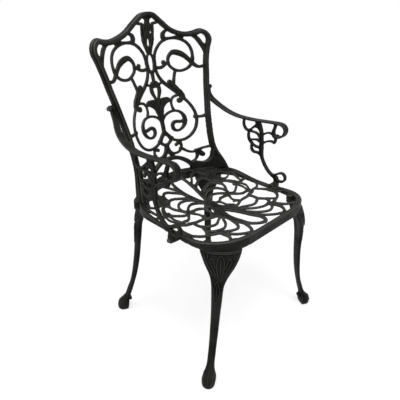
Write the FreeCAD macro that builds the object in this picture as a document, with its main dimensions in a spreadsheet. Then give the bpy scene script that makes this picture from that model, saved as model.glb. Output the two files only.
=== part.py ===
import FreeCAD, Part
import math
import os

# Cast iron garden armchair: an openwork back and a dished openwork seat, two arms with
# scrolled brackets, and four cabriole legs, bolted together.
# Frame: millimetres, +X to the sitter's left as seen from the front right, +Z up,
# the sitter faces -Y, the floor is z = 0 and the chair is symmetric about x = 0.

V = FreeCAD.Vector
doc = FreeCAD.newDocument("garden_armchair")

# Driving sizes

SIZES = [
    ("back_half_width", 217.0, "half width of the back across its shoulders"),
    ("back_rise", 477.5, "height of the back along its own slope"),
    ("recline", 11.0, "lean of the back from upright, degrees"),
    ("back_foot_y", 161.0, "where the slope of the back starts, depth"),
    ("back_foot_z", 411.0, "where the slope of the back starts, height"),
    ("frame_width", 11.5, "width of the band that runs round the back"),
    ("frame_depth", 12.0, "front to back depth of the foot of the back"),
    ("band_depth", 9.5, "depth of each of the two layers of the band"),
    ("band_front", -0.6, "middle of the front layer behind the middle of the scrollwork"),
    ("band_rear", 8.0, "middle of the rear layer behind the middle of the scrollwork"),
    ("rear_width", 8.5, "width of the rear layer"),
    ("crest_step", 2.2, "how far the rear layer stands outward at the crest"),
    ("post_step", 4.5, "how far the rear layer stands outward at the posts"),
    ("strand_scale", 1.0, "width of the scrollwork strands against the drawn width"),
    ("lattice_depth", 5.5, "depth of the scrollwork of the back"),
    ("seat_half_width", 207.0, "half width of the seat over its rim"),
    ("seat_front", 240.0, "distance of the front edge of the seat from the datum"),
    ("seat_low", 374.4, "height of the middle of the dished seat"),
    ("seat_plate", 5.0, "thickness of the openwork seat"),
    ("rim_width", 12.5, "width of the rim of the seat"),
    ("rim_rise", 3.5, "height of the rim over the middle of the seat plate"),
    ("rim_foot", 385.0, "height of the flat underside of the rim, where the legs meet it"),
    ("strap_width", 21.0, "width of the arm rest"),
    ("strap_thick", 5.5, "thickness of the arm rest"),
    ("bracket_depth", 10.0, "thickness of the scrolled arm bracket"),
    ("arm_rearward", 6.0, "how far the arms stand to the rear of their drawing"),
    ("bracket_x", 219.5, "distance of the arm bracket from the centre plane"),
    ("bracket_lean", 2.6, "outward lean of the bracket towards its foot, degrees"),
    ("foot_front_x", 238.6, "front foot, distance from the centre plane"),
    ("foot_front_y", 245.0, "front foot, distance in front of the datum"),
    ("foot_rear_x", 209.5, "rear foot, distance from the centre plane"),
    ("foot_rear_y", 159.8, "rear foot, distance behind the datum"),
    ("toe_front", 30.0, "turn of the front legs from sideways, degrees"),
    ("toe_rear", 27.0, "turn of the rear legs from sideways, degrees"),
    ("cheek_front", 12.0, "further turn of the top of a front leg along the rim, degrees"),
    ("cheek_rear", 25.0, "further turn of the top of a rear leg along the rim, degrees"),
    ("flare_rear", 0.8, "width of the top of a rear leg against that of a front leg"),
    ("leg_girth", 1.0, "width of the legs against the drawn width"),
    ("ear_spread", 34.0, "distance of a leg bolt from the middle of the leg"),
    ("ear_thick", 8.0, "thickness of the ears of the legs"),
    ("foot_bolt_z", 386.0, "height of the bolt through the foot of the arm"),
    ("lug_reach", 24.0, "length of the lug of the seat behind the foot of the arm"),
    ("bolt_dia", 6.0, "shank diameter of every bolt"),
    ("bolt_hole", 6.8, "clearance hole for the bolts"),
    ("head_corner", 5.8, "corner radius of the hexagon heads and nuts"),
    ("head_high", 4.0, "height of the hexagon heads and nuts"),
    ("washer_radius", 6.6, "outer radius of the washers"),
    ("washer_thick", 1.4, "thickness of the washers"),
    ("bolt_reach", 18.0, "length of the bolts under the head"),
    ("fit_gap", 0.2, "clearance between cast pieces that meet on curved faces"),
]

sheet = doc.addObject("Spreadsheet::Sheet", "sizes")
for row, (alias, value, note) in enumerate(SIZES, start=1):
    sheet.set("A%d" % row, note)
    sheet.set("B%d" % row, str(value))
    sheet.setAlias("B%d" % row, alias)
doc.recompute()


def size(alias):
    """A driving size read from the sheet."""
    return float(sheet.get(alias))


# Flat shapes made of strands


def side_arcs(points):
    """Arcs through successive threes of points, straight where they are in line."""
    edges = []
    for a, b, c in zip(points[0::2], points[1::2], points[2::2]):
        if (b - a).cross(c - b).Length < 1e-3 * (b - a).Length * (c - b).Length:
            edges.append(Part.LineSegment(a, c).toShape())
        else:
            edges.append(Part.Arc(a, b, c).toShape())
    return edges


def upward(face):
    """The face with its normal towards +Z."""
    if face.normalAt(0, 0).z < 0:
        face.reverse()
    return face


def strand(points, widths):
    """A flat strand along a smooth centre line, with its width at each point."""
    if not isinstance(widths, list):
        widths = [widths] * len(points)
    steps = [0.0]
    for p, q in zip(points, points[1:]):
        steps.append(steps[-1] + math.hypot(q[0] - p[0], q[1] - p[1]))
    centre = Part.BSplineCurve()
    centre.interpolate([V(p[0], p[1], 0) for p in points], Parameters=steps)
    left = []
    right = []
    for i in range(2 * len(points) - 1):
        k = i // 2
        if i % 2 == 0:
            at, wide = steps[k], widths[k]
        else:
            at, wide = (steps[k] + steps[k + 1]) / 2, (widths[k] + widths[k + 1]) / 2
        along = centre.tangent(at)[0]
        side = V(-along.y, along.x, 0) * (wide / 2)
        left.append(centre.value(at) + side)
        right.append(centre.value(at) - side)
    tip = centre.value(steps[-1]) + centre.tangent(steps[-1])[0] * (widths[-1] / 2)
    tail = centre.value(0) - centre.tangent(0)[0] * (widths[0] / 2)
    edges = side_arcs(left) + side_arcs(right)
    edges.append(Part.Arc(left[-1], tip, right[-1]).toShape())
    edges.append(Part.Arc(right[0], tail, left[0]).toShape())
    return upward(Part.Face(Part.Wire(Part.__sortEdges__(edges))))


def leaf(points):
    """A flat closed shape with a smooth outline through the points."""
    edge = Part.BSplineCurve()
    edge.interpolate([V(p[0], p[1], 0) for p in points], PeriodicFlag=True)
    return upward(Part.Face(Part.Wire([edge.toShape()])))


def disc(x, y, radius):
    """A flat round bead or scroll end."""
    return upward(Part.Face(Part.Wire([Part.Circle(V(x, y, 0), V(0, 0, 1), radius).toShape()])))


def both_halves(faces):
    """The union of the right half, trimmed at the centre line, with its mirror image."""
    half = faces[0].multiFuse(faces[1:]).removeSplitter()
    right = Part.makePlane(600, 2000, V(0, -1000, 0))
    half = max(half.common(right).Faces, key=lambda f: f.Area)
    other = upward(half.mirror(V(0, 0, 0), V(1, 0, 0)).Faces[0])
    whole = upward(half).multiFuse([other]).removeSplitter()
    return max(whole.Faces, key=lambda f: f.Area)


def biggest(shape):
    """The largest solid of a boolean result."""
    return max(shape.Solids, key=lambda s: s.Volume)


# Back: drawn flat, x across and y up the slope, right half only

BX = size("back_half_width") / 217.0
BY = size("back_rise") / 477.5
SW = size("strand_scale")


def on_back(points):
    """Points of the drawing of the back at its present width and height."""
    return [(x * BX, y * BY) for x, y in points]


def back_strand(points, widths):
    """A scrollwork strand of the back."""
    if not isinstance(widths, list):
        widths = [widths] * len(points)
    return strand(on_back(points), [w * SW for w in widths])


FRAME_LINE = [
    (-6, 471), (10, 470.8), (22, 467.5), (34, 460), (46, 451.5), (60, 441), (77, 428.6), (97, 419),
    (118, 412), (139, 407.6), (160, 407.5), (176, 410), (188, 412.5), (198, 409), (205.5, 402.5),
    (209.8, 393.5), (210.3, 385), (206.2, 375), (199, 356), (193.6, 338), (189, 319), (183.6, 291),
    (176.6, 259), (165.6, 201), (159.4, 166), (155.5, 130), (153, 95), (153.5, 70), (157.5, 47),
    (164, 28), (171, 10), (176, -8), (180, -26)]
ARCH_LINE = [(-6, 52), (10, 52), (28, 49.5), (42, 45), (55, 38.5), (67, 30.5), (78, 21), (87, 10), (94, -4), (98, -20)]
WING = [
    (92, 24), (104, 20.5), (116, 16.5), (128, 14.5), (138, 18.5), (145, 26), (148.3, 35), (150, 43),
    (154, 48), (159, 44), (164, 28), (171, 8), (180, -24), (160, -34), (130, -32),
    (104, -26), (92, -12), (82, 6), (81, 14), (84, 22)]



def stepped(line):
    """A line of the back moved outward by the step of the rear layer."""
    out = []
    for i, (x, y) in enumerate(line):
        before, after = line[max(i - 1, 0)], line[min(i + 1, len(line) - 1)]
        dx, dy = after[0] - before[0], after[1] - before[1]
        share = min(max((x - 60) / 100, 0.0), 1.0)
        step = size("crest_step") * (1 - share) + size("post_step") * share
        out.append((x - dy / math.hypot(dx, dy) * step, y + dx / math.hypot(dx, dy) * step))
    return out


frame_face = strand(on_back(FRAME_LINE), size("frame_width"))
rear_face = strand(on_back(stepped(FRAME_LINE)), size("rear_width"))
arch_face = strand(on_back(ARCH_LINE), size("frame_width"))
wing_face = leaf(on_back(WING))


def back_faces():
    """Every strand of the right half of the back."""
    s = back_strand
    return [
        frame_face, arch_face, wing_face,
        # fork that holds the shoulder eye
        s([(158, 404), (168, 398.5), (177, 389), (184, 377), (190, 363), (193, 346)], [9, 11, 12.5, 12, 10, 8]),
        leaf(on_back([(186, 380), (191, 379), (195, 375.5), (200, 376), (204, 372), (200, 355), (192, 350),
                      (188, 362)])),
        # great C scroll and the ring below it
        s([(15, 318), (16, 330), (16.2, 345), (18.5, 359), (25, 373), (35, 384.5), (47, 394), (62, 400),
           (80, 402.5), (100, 401.2), (118, 396), (133, 388), (144, 376.5), (150, 362), (151, 346), (147, 327)],
          [7, 7] + [7.5] * 13 + [9]),
        s([(150, 340), (144, 323), (131, 312), (115, 306.8), (98, 306.3), (86, 310), (75, 317.5), (66.5, 327),
           (64.3, 338), (68, 350), (77, 359)], [9, 9, 7.5, 7.2, 7.2, 8, 7.2, 7.5, 8, 9, 10]),
        # broad leaf over the ring and its tail to the post
        s([(72, 354), (86, 362), (101, 359.5), (116, 353), (129, 343), (140, 331), (149, 321), (160, 311.5),
           (171, 309.5), (184, 312)], [9, 14, 16, 15.5, 12.5, 12, 11, 9, 8, 9]),
        # hook with a bead
        s([(14, 328), (27, 323.7), (38, 324), (48, 328), (57, 333), (66, 334)], [8, 8.5, 8.5, 8.5, 9, 8]),
        disc(47.5 * BX, 337 * BY, 6.2),
        # bud under the crest
        s([(74, 426), (64, 423), (57, 417), (55.5, 409), (59, 401)], [6, 8, 13, 14, 12]),
        s([(60, 404.5), (85, 403.5), (104, 404), (122, 403)], [6, 5, 8, 12]),
        # crest plume, lens ring and central stem
        s([(-1, 462), (0, 440), (0, 420), (0, 404), (0, 392), (0, 376)], [30, 47, 45, 44, 36, 22]),
        s([(-4, 368), (5, 365), (10.5, 357), (11.8, 345), (11.2, 333), (8.5, 321), (3, 311), (-3, 306)], 6),
        s([(0, 314), (0, 300), (0, 288), (0, 274)], [12, 9, 9, 14]),
        s([(7, 284), (14, 273), (14.5, 260), (10.5, 248), (4, 236)], [9, 11, 12, 9, 7]),
        s([(-3, 276), (10, 277), (26, 280)], 6),
        # long S: diagonal, knot and outer ring of the lower scroll
        s([(15, 322), (18, 309), (22.5, 298), (30, 286.5), (39, 276.5), (49, 268), (60, 258.5), (72, 247.5),
           (84, 235.5), (95, 224), (105, 212), (113, 199.5), (119, 186), (122.5, 172), (123, 159), (121, 146),
           (116.5, 133.5), (109.5, 122), (99.5, 112), (87.5, 104.5), (75, 100.3), (62, 99), (49, 100.5),
           (37, 104), (27, 110), (20, 118), (12, 127), (4, 137)],
          [8, 8, 8.5, 9.5, 10, 10, 10, 10, 9.5, 8.5] + [7.5] * 14 + [8, 9, 8, 7]),
        s([(57.5, 277.5), (67, 266), (77, 252), (87, 238), (88, 226), (78, 219.5)], [15, 17, 19, 15, 12, 15]),
        s([(86, 309), (80, 299), (76.5, 289), (72, 277), (68, 266)], [8, 7.5, 7.5, 9, 12]),
        s([(80, 250), (94, 240.5), (96, 226)], [14, 5, 9]),
        s([(52, 196), (48.7, 206), (48.2, 216), (51.3, 226), (58.5, 232.5), (69, 235.3), (82, 236)],
          [8, 6, 6, 6.5, 6.5, 7, 8]),
        # palmette and its stem
        leaf(on_back([(-3, 236.5), (14, 236.3), (34, 236.8), (46, 230.5), (46.5, 223), (38, 220.5), (28, 216),
                      (19, 209), (13.5, 199), (10.5, 188), (8, 178), (6.5, 168), (-3, 168)])),
        s([(0, 200), (0, 180), (0, 160), (0, 145), (0, 132)], [30, 14, 12.5, 13, 14]),
        # lower spiral
        s([(3, 168), (9, 178), (18, 185), (30, 190), (44, 192.3), (58, 191.3), (70, 187), (79, 178.5),
           (83.8, 167), (83, 154), (77, 142.5), (67, 134.5), (55, 131), (44.5, 133.5), (37.5, 141),
           (37, 150.5)], [7, 6.5, 6.5, 6.5, 6.5, 6.5, 7, 9, 12, 13, 10, 7, 6.5, 8, 11, 11]),
        s([(38, 143), (37, 150.5), (43, 157.5), (53, 159), (64, 156.8), (77, 157)], [9, 11.5, 10, 9, 9, 9]),
        # diamond and low ring with its bead
        s([(0, 134), (9, 125.5), (18, 115), (20, 109), (12, 101.5), (5, 94), (0, 86)], [9, 8, 9, 9, 7.5, 8, 9]),
        s([(26, 113), (20, 107), (13, 101)], [10, 9, 8]),
        s([(1, 98), (5.5, 88), (8, 79.5), (14, 71), (23, 65.2), (33.5, 63.3), (44, 65.3), (51.5, 71),
           (55.3, 79), (55, 88), (50, 98)], [8, 7, 7, 7, 6.5, 6.5, 7, 8, 7.5, 7.5, 10]),
        s([(50, 98), (46, 93), (41, 91), (37, 89)], [9, 11, 9, 9.5]),
        s([(-2, 80), (5, 71), (12, 63), (22, 57)], [9, 7.5, 7, 8]),
        # lowest strand, its corner scroll and bead
        s([(51, 75), (60, 70), (70, 62.7), (80, 57), (90, 53.8), (100, 53.3), (110, 55.5), (120, 59),
           (131, 60.3), (143, 61), (156, 65)], [8, 8, 7, 6.8, 6.5, 7, 10, 7, 6, 7, 8]),
        s([(103, 56), (106, 46), (105, 36), (100, 28), (92, 22)], [10, 9, 8, 6, 8]),
        s([(110, 54), (116, 46), (122.5, 39)], [14, 14.5, 14]),
        # side bar to the post
        s([(120, 162), (131, 160), (142, 159.5), (155, 163)], [12, 7.5, 8, 10]),
    ]


def back_shell(thick, low, high, rearward=0.0):
    """A curved slab: arcs in plan that open out towards the top, bent in side view."""
    wires = []
    for step in range(6):
        y = low + (high - low) * step / 5
        t = y / 100 / BY
        apex = -0.4 - 14.2 * t + 12.0 * t ** 2 - 1.89 * t ** 3
        span = (80 + 25 * t) * BX
        dip = (0.8 + 0.25 * t) ** 2 * (20.3 - 2.75 * t)
        radius = (span ** 2 + dip ** 2) / (2 * dip)
        reach = (202 + 8 * t) * BX
        ring = []
        for r in (radius + rearward - thick / 2, radius + rearward + thick / 2):
            swing = math.asin(reach / radius)
            middle = V(0, apex - radius, y)
            ends = [middle + V(sx * r * math.sin(swing), r * math.cos(swing), 0) for sx in (-1, 1)]
            ring.append((ends[0], middle + V(0, r, 0), ends[1]))
        front, rear = ring
        edges = [Part.Arc(*front).toShape(), Part.LineSegment(front[2], rear[2]).toShape(),
                 Part.Arc(rear[2], rear[1], rear[0]).toShape(), Part.LineSegment(rear[0], front[0]).toShape()]
        wires.append(Part.Wire(edges))
    return Part.makeLoft(wires, True, False)


def stand_up(face, front, rear):
    """A prism of a flat drawing that is stood upright, from front to rear in depth."""
    flat = face.copy()
    flat.rotate(V(0, 0, 0), V(1, 0, 0), 90)
    flat.translate(V(0, rear, 0))
    return flat.extrude(V(0, front - rear, 0))


BACK_PLACE = FreeCAD.Placement(
    V(0, size("back_foot_y"), size("back_foot_z")), FreeCAD.Rotation(V(1, 0, 0), -size("recline")))

# Seat: drawn flat, x across and y to the rear

SX = size("seat_half_width") / 207.0
SY = size("seat_front") / 240.0


def seat_height(x, y):
    """Height of the middle of the dished seat plate."""
    a = x / SX / 100
    b = y / SY / 100
    return size("seat_low") + 6.9 * b + 10.1 * b ** 2 + 0.7 * b ** 3 + a ** 2 * (4.12 + 0.8 * b)


def dished_slab(below, above):
    """The space from below to above the dished middle surface of the seat."""
    grid = []
    for i in range(7):
        x = (-1 + i / 3) * 250 * SX
        line = [(-290 + 80 * j) * SY for j in range(7)]
        grid.append([V(x, y, seat_height(x, y) - below) for y in line])
    surface = Part.BSplineSurface()
    surface.interpolate(grid)
    return surface.toShape().extrude(V(0, 0, above + below))


def seat_strand(points, widths):
    """A strand of the seat."""
    return strand([(x * SX, y * SY) for x, y in points], widths)


RIM_LINE = [
    (-6, 155), (40, 152.5), (80, 143), (118, 130), (148, 113), (172, 92), (189, 68), (198, 44), (200.5, 20),
    (200.7, -20), (201.5, -60), (203.5, -100), (203.5, -135), (200, -160), (191, -182), (176.5, -201),
    (158, -216.5), (134, -228), (105.5, -233.2), (70, -234.3), (30, -233.8), (-6, -233.8)]

rim_face = strand([(x * SX, y * SY) for x, y in RIM_LINE], size("rim_width"))


def seat_faces():
    """Every strand of the right half of the seat."""
    s = seat_strand
    return [
        rim_face,
        # spines, hub and rear palm
        s([(-3, -3), (9, 8), (15, 30), (20.5, 50), (25.5, 70), (28, 88), (26.3, 105), (25, 120), (21, 134),
           (12, 146)], [16, 13, 10, 11, 13, 14, 8, 8, 11, 14]),
        s([(12, -62), (20, -85), (24, -100), (26, -115), (27.5, -130), (28.5, -150), (28.5, -166), (25, -184),
           (19, -197), (10, -207), (-4, -212)], [22, 22, 19, 18, 18, 19, 15, 9, 8, 9, 12]),
        leaf([(x * SX, y * SY) for x, y in [
            (-4, 5), (8, 4), (17, -8), (21, -17), (15, -27), (17, -40), (24, -52), (34, -60), (42, -68),
            (43, -82), (34, -92), (20, -90), (8, -75), (-4, -69)]]),
        s([(-6, 137), (6, 137), (16, 141)], [20, 20, 14]),
        # five rear fronds
        s([(26, 95), (36, 99), (45, 107), (53, 116), (61, 123.5), (70, 128), (84, 131), (98, 127)],
          [10, 7, 6, 6, 6, 6.5, 10, 14]),
        s([(26, 72), (38, 81), (48, 87), (56, 91.5), (64, 96), (73, 98.3), (82, 97), (90, 91), (96, 82),
           (98, 70)], [10, 9, 7, 6.5, 6, 6, 6.5, 7.5, 10, 12]),
        s([(20, 40), (30, 47), (40, 51.5), (50, 56), (60, 60.3), (70, 64), (80, 65.5), (90, 64), (99, 58.5),
           (107, 50), (113, 40)], [9, 8, 7, 6.5, 6, 6, 6, 7, 9, 8, 7]),
        s([(14, 22), (24, 31), (34, 37), (45, 41.5), (56, 42.7), (66, 41.8), (76, 38.5), (84, 33.3),
           (90, 26.5), (94, 18), (95.5, 8), (92, -4)], [8, 8, 8, 7, 6, 6, 6, 6, 6, 6, 6, 10]),
        s([(8, 0), (18, 8), (28, 13.5), (38, 17.3), (48, 17.8), (58, 14.8), (67, 9.5), (75, 2.8), (82, -5),
           (86, -12)], [10, 9, 8, 7.5, 6.5, 6, 6, 7, 9, 12]),
        # eye beside the hub
        s([(20, -20), (28, -21.5), (36, -20), (44, -14.8), (52, -11.5), (62, -12), (74, -13), (90, -13)],
          [6, 6, 6, 7, 7.5, 7, 9, 12]),
        s([(27, -20), (32.5, -28), (34, -38), (34, -48), (38, -57), (46, -67)], [5, 5, 4.5, 5, 7, 9]),
        s([(82, -12), (78.5, -24), (73, -34), (70.5, -44), (73, -53), (77, -62)], [8, 6, 4.5, 4.5, 5.5, 8]),
        disc(66.5 * SX, -52 * SY, 4.2),
        s([(66.5, -52), (72, -56), (78, -62)], [5, 5, 6]),
        # cross strand from the hub to the side rim
        s([(30, -76), (42, -76), (53, -75.5), (64, -72), (76, -67), (88, -64.6), (100, -64.6), (114, -64.8),
           (128, -61), (140, -60), (150, -56), (160, -51.7), (171, -52.5), (182, -49.3), (190, -43),
           (196, -34), (203, -24)],
          [10, 8, 6.5, 6.5, 6.5, 6.5, 6.5, 7, 9, 9, 9, 6, 5.5, 6, 6.5, 6.5, 8]),
        # three front fronds
        s([(30, -88), (42, -90.5), (50, -94), (58, -98.5), (67, -104.3), (77, -110), (87, -112.3),
           (97, -110), (108, -105), (117, -99), (122.5, -90), (123.8, -79), (121, -66)],
          [9, 7, 6, 5.5, 6, 6, 6, 6.5, 8, 8, 7, 6, 7]),
        s([(27, -98), (38, -99), (45, -105), (51.5, -114.5), (59.5, -124.5), (68, -133), (78, -140),
           (88, -144.7), (100, -146.3), (112, -143.5), (123, -138), (130, -129), (130.5, -118),
           (126, -107), (120, -97)], [9, 6, 5.5, 6, 6, 6, 6, 6, 8, 9, 8, 7, 6, 7, 9]),
        s([(30, -118), (37, -133), (43, -146), (49, -156.5), (56, -166), (64, -173), (73, -176.7),
           (84, -174.5), (94, -169.5), (104, -164), (114, -158)], [9, 7.5, 6.5, 6.5, 6.5, 6.5, 6.5, 6, 7, 9, 12]),
        s([(31, -165), (38, -180), (43, -190), (49, -200), (56.5, -209.5), (65, -217), (74, -224), (80, -232)],
          [9, 7, 6.5, 6.5, 6.5, 8, 10, 10]),
        # front knot and corner loop
        s([(113, -160), (110, -180), (106, -192), (99, -203), (90.5, -211.5), (82, -218), (72, -226)],
          [12, 8, 7, 6.5, 6.5, 8, 10]),
        s([(115, -160), (121, -177), (124.5, -190), (130.5, -200), (139, -208.5), (148, -216.5)],
          [12, 9, 7, 6.5, 7, 8]),
        disc(114 * SX, -157 * SY, 11),
        s([(114, -157), (130, -152), (142, -148), (153, -144.8), (163, -140), (173, -131), (180, -121),
           (186, -110), (188, -96)], [12, 10, 7.5, 6.5, 6.5, 6.5, 7, 10, 12]),
        s([(131, -116), (137, -124), (141.5, -134), (148, -144)], [5, 4, 4, 5]),
        # side strands
        s([(165, -53), (170, -62), (174.5, -70), (180, -80), (183.5, -92), (185, -106), (189, -118),
           (198, -128)], [5, 4.5, 4.5, 6, 9, 12, 13, 12]),
        s([(88, -10), (97, -21), (106, -31), (114, -38.5), (124, -42.5), (135, -42.3), (143, -46),
           (150, -54)], [9, 7.5, 6.5, 6.5, 6.5, 7, 7, 9]),
        s([(84, -10), (94, -13.5), (102, -17.5), (110, -17), (120, -12), (130, -6.3), (139, 0), (145.5, 9),
           (147, 21), (142, 33), (133, 44), (120, 52)], [10, 8, 6.5, 6, 6, 6, 6.5, 7, 7.5, 7.5, 8, 10]),
        s([(149, 2), (149.7, -14), (149, -26), (145.5, -36), (143, -48)], [5, 3.6, 3.6, 4, 5]),
        s([(158, 8), (163.5, -6), (164.5, -17), (161, -27), (155, -36), (148, -48)],
          [6, 4.2, 4.2, 4.2, 4.5, 6]),
        s([(141, 12), (152, 8), (162, 6.3), (172, 6.5), (184, 8.5), (195, 5), (203, 1)], [8, 8, 8, 8, 7, 8, 9]),
        s([(90, -4), (100, 9), (107, 18), (112, 28), (114, 38), (117, 50), (124, 60)],
          [8, 6.5, 6.5, 6, 6, 10, 12]),
        s([(122, 50), (137, 42), (146, 32.5), (152.5, 22), (158, 12), (160, 3)], [9, 7, 7, 6.5, 6.5, 7]),
        s([(182, 60), (181, 44), (177.5, 30), (174.8, 18), (172, 6)], [9, 8, 5.5, 4.5, 6]),
        s([(118, 62), (134, 57), (147, 51.5), (160, 54), (174, 61.5), (184, 62)], [10, 6, 3.8, 3.8, 5, 8]),
        # solid shoulder under the wings of the back
        leaf([(x * SX, y * SY) for x, y in [
            (98, 128), (116, 120), (130, 110), (150, 98), (168, 88), (176, 76), (165, 64), (161, 72),
            (154, 82), (144, 88), (132, 86), (127, 78), (130, 68), (137, 58), (128, 52), (116, 54),
            (104, 64), (98, 74), (97, 90), (103, 96), (98, 108), (90, 124)]]),
        s([(178, 76), (184, 66), (193, 52)], [14, 12, 10]),
        s([(96, 122), (82, 139), (60, 147)], [14, 10, 10]),
    ]


# Arm: bracket and rest drawn from the side, x forward and y up

REST_LINE = [
    (-176, 656), (-175.5, 646), (-171, 634), (-158, 619.5), (-140, 606), (-120, 595), (-100, 587.2),
    (-80, 582), (-60, 579.3), (-40, 578.6), (0, 580.5), (40, 584.8), (80, 588.8), (95, 588.6),
    (105, 584.5), (110.8, 576), (110.5, 566), (105.5, 556.5), (98, 550.5), (88, 547.5), (80, 550)]
PLAN_LINE = [(-190, 184), (-168, 187), (-145, 197), (-115, 206.5), (-80, 213), (-40, 218), (0, 219.5), (60, 220.5), (120, 221.5)]


FOOT_BOLT = (95.0, size("foot_bolt_z"))


def bracket_faces():
    """Every strand of the arm bracket."""
    return [
        # stem
        strand([(8, 577), (17, 566), (23.5, 553), (27, 540), (28.5, 525), (29, 508), (29.5, 490), (31.5, 475),
                (36.5, 460), (44, 447), (54, 434.5), (67, 423), (80, 416), (93, 411.5)],
               [14, 15, 11, 9, 10, 13, 13, 10, 8, 8, 8, 8, 9, 10]),
        # rear loops, from the top down
        strand([(-43, 579), (-44.5, 565), (-43, 553.5), (-37.5, 546), (-30, 541.8), (-21, 543), (-13, 549.5),
                (-5, 557), (4, 565), (12, 573)], [6, 5.5, 5.5, 5.5, 6, 6.5, 5.5, 5.5, 7, 9]),
        strand([(-12, 550), (-3, 557), (6, 561), (15, 559), (22, 552), (26, 541)], [5, 5, 6, 7, 8, 8]),
        strand([(-21, 543), (-12, 541.3), (-3, 541.2), (6, 540.8), (14, 537), (21, 529)],
               [6, 5.5, 5, 5, 5, 6]),
        strand([(-21, 544), (-23.3, 533), (-23.3, 523), (-20.5, 513.5), (-15, 507), (-9, 503.5)],
               [7, 6, 6, 6, 6, 6.5]),
        strand([(-19, 511.5), (-9, 514), (1, 517), (10, 519), (20, 517)], [5.5, 5, 5, 6, 8]),
        strand([(-10, 504.5), (-3, 498.5), (5, 496), (14, 495), (24, 496)], [6, 6, 6, 6.5, 8]),
        strand([(-8, 502), (-9, 491.5), (-7.5, 482.5), (-1.5, 476.3), (7, 475.5), (17, 476.8), (28, 474)],
               [6, 6, 6, 6.5, 6.5, 7, 9]),
        # front loop with its hook
        strand([(30, 540), (38, 545.5), (47, 550.5), (57, 553), (66, 552.3), (74, 548), (79, 541), (79.3, 533),
                (76, 526.5)], [9, 6, 5, 5, 6, 6.5, 6, 6, 7]),
        strand([(31, 512), (40, 517.5), (49, 523), (59, 527), (68, 528), (77, 526)], [9, 6.5, 5, 5, 5.5, 6.5]),
        # post between the rest and the front loop
        strand([(75, 588), (74.5, 577), (71.5, 567), (70, 557), (74, 548)], [8, 7.5, 8, 10, 11]),
        # foot scroll
        strand([(80, 417), (91, 422.5), (100, 429), (109, 434), (118, 433.8), (124.8, 428), (126.5, 419.5),
                (122.5, 411), (115, 406), (105, 404.5), (96, 406), (88, 412)],
               [9, 6.5, 6, 6, 6, 6.5, 6.5, 6.5, 6.5, 7, 9, 9]),
        # tongue that is bolted to the seat
        strand([(94, 412), (95, 400), (95, FOOT_BOLT[1])], [12, 16, 18]),
    ]

BRACKET_TURN = FreeCAD.Rotation(V(0, 1, 0), -size("bracket_lean"))
BRACKET_PIVOT = V(size("bracket_x"), 0, 570)


def upright(shape, x):
    """A flat drawing of the side view, x forward and y up, stood in the plane at x."""
    turned = shape.copy()
    turned.rotate(V(0, 0, 0), V(1, 0, 0), 90)
    turned.rotate(V(0, 0, 0), V(0, 0, 1), -90)
    turned.translate(V(x, size("arm_rearward"), 0))
    return turned


def leaned(shape):
    """A shape turned about the pivot of the bracket by its outward lean."""
    turned = shape.copy()
    turned.rotate(BRACKET_PIVOT, V(0, 1, 0), -size("bracket_lean"))
    return turned


def lean_point(x, forward, up):
    """A point of the upright bracket carried to where the lean puts it."""
    return BRACKET_PIVOT + BRACKET_TURN.multVec(V(x, size("arm_rearward") - forward, up) - BRACKET_PIVOT)


BRACKET_IN = size("bracket_x") - size("bracket_depth") / 2
BRACKET_OUT = size("bracket_x") + size("bracket_depth") / 2
FOOT_AXIS = BRACKET_TURN.multVec(V(1, 0, 0))
ARM_TOP = V(184.0 * BX, 176.0 + size("arm_rearward"), 656.0)
LUG_OUT = 197.0 * BX
POST_LINE = [(189, 319), (183.6, 291), (176.6, 259), (165.6, 201), (159.4, 166)]


def drill(at, along, length):
    """A bolt hole from a point along a direction."""
    return Part.makeCylinder(size("bolt_hole") / 2, length, at, along)


def post_space():
    """The room of the post of the back beside the lug of the arm, with the clearance round it."""
    gap = size("fit_gap")
    deep = size("band_depth") + 14
    room = []
    for line, rearward in ((POST_LINE, size("band_front") - 6), (stepped(POST_LINE), size("band_rear") + 7 - gap)):
        face = strand(on_back(line), size("frame_width") + 2 * gap)
        room.append(stand_up(face, -60, 60).common(back_shell(deep, 150 * BY, 320 * BY, rearward)))
    solid = room[0].fuse(room[1])
    solid.Placement = BACK_PLACE
    return solid


def arm_solid():
    """The right arm: rest, bracket and foot as one casting."""
    thick = size("strap_thick")
    wide = size("strap_width")
    out = size("bracket_x") - 219.5
    rest_widths = [16, 15, 12, thick + 3, thick + 1] + [thick] * (len(REST_LINE) - 5)
    side = upright(strand(REST_LINE, rest_widths), 150).extrude(V(100, 0, 0))
    plan_widths = [13, 14, wide - 3] + [wide] * (len(PLAN_LINE) - 3)
    plan = strand([(x + out, size("arm_rearward") - y) for y, x in PLAN_LINE], plan_widths)
    plan.translate(V(0, 0, 500))
    rest = biggest(side.common(plan.extrude(V(0, 0, 200))))
    faces = bracket_faces()
    flat = max(faces[0].multiFuse(faces[1:]).removeSplitter().Faces, key=lambda f: f.Area)
    bracket = leaned(upright(flat, BRACKET_IN).extrude(V(size("bracket_depth"), 0, 0)))
    boss = Part.makeCylinder(8, 24, V(LUG_OUT, ARM_TOP.y, ARM_TOP.z), V(-1, 0, 0))
    arm = rest.multiFuse([bracket, boss]).cut(post_space())
    arm = arm.cut(drill(ARM_TOP - V(30, 0, 0), V(1, 0, 0), 60))
    arm = arm.cut(drill(lean_point(BRACKET_IN - 5, *FOOT_BOLT), FOOT_AXIS, 30))
    return biggest(arm)


# Leg: sections up the leg, outward and sideways from the middle of the foot

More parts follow.
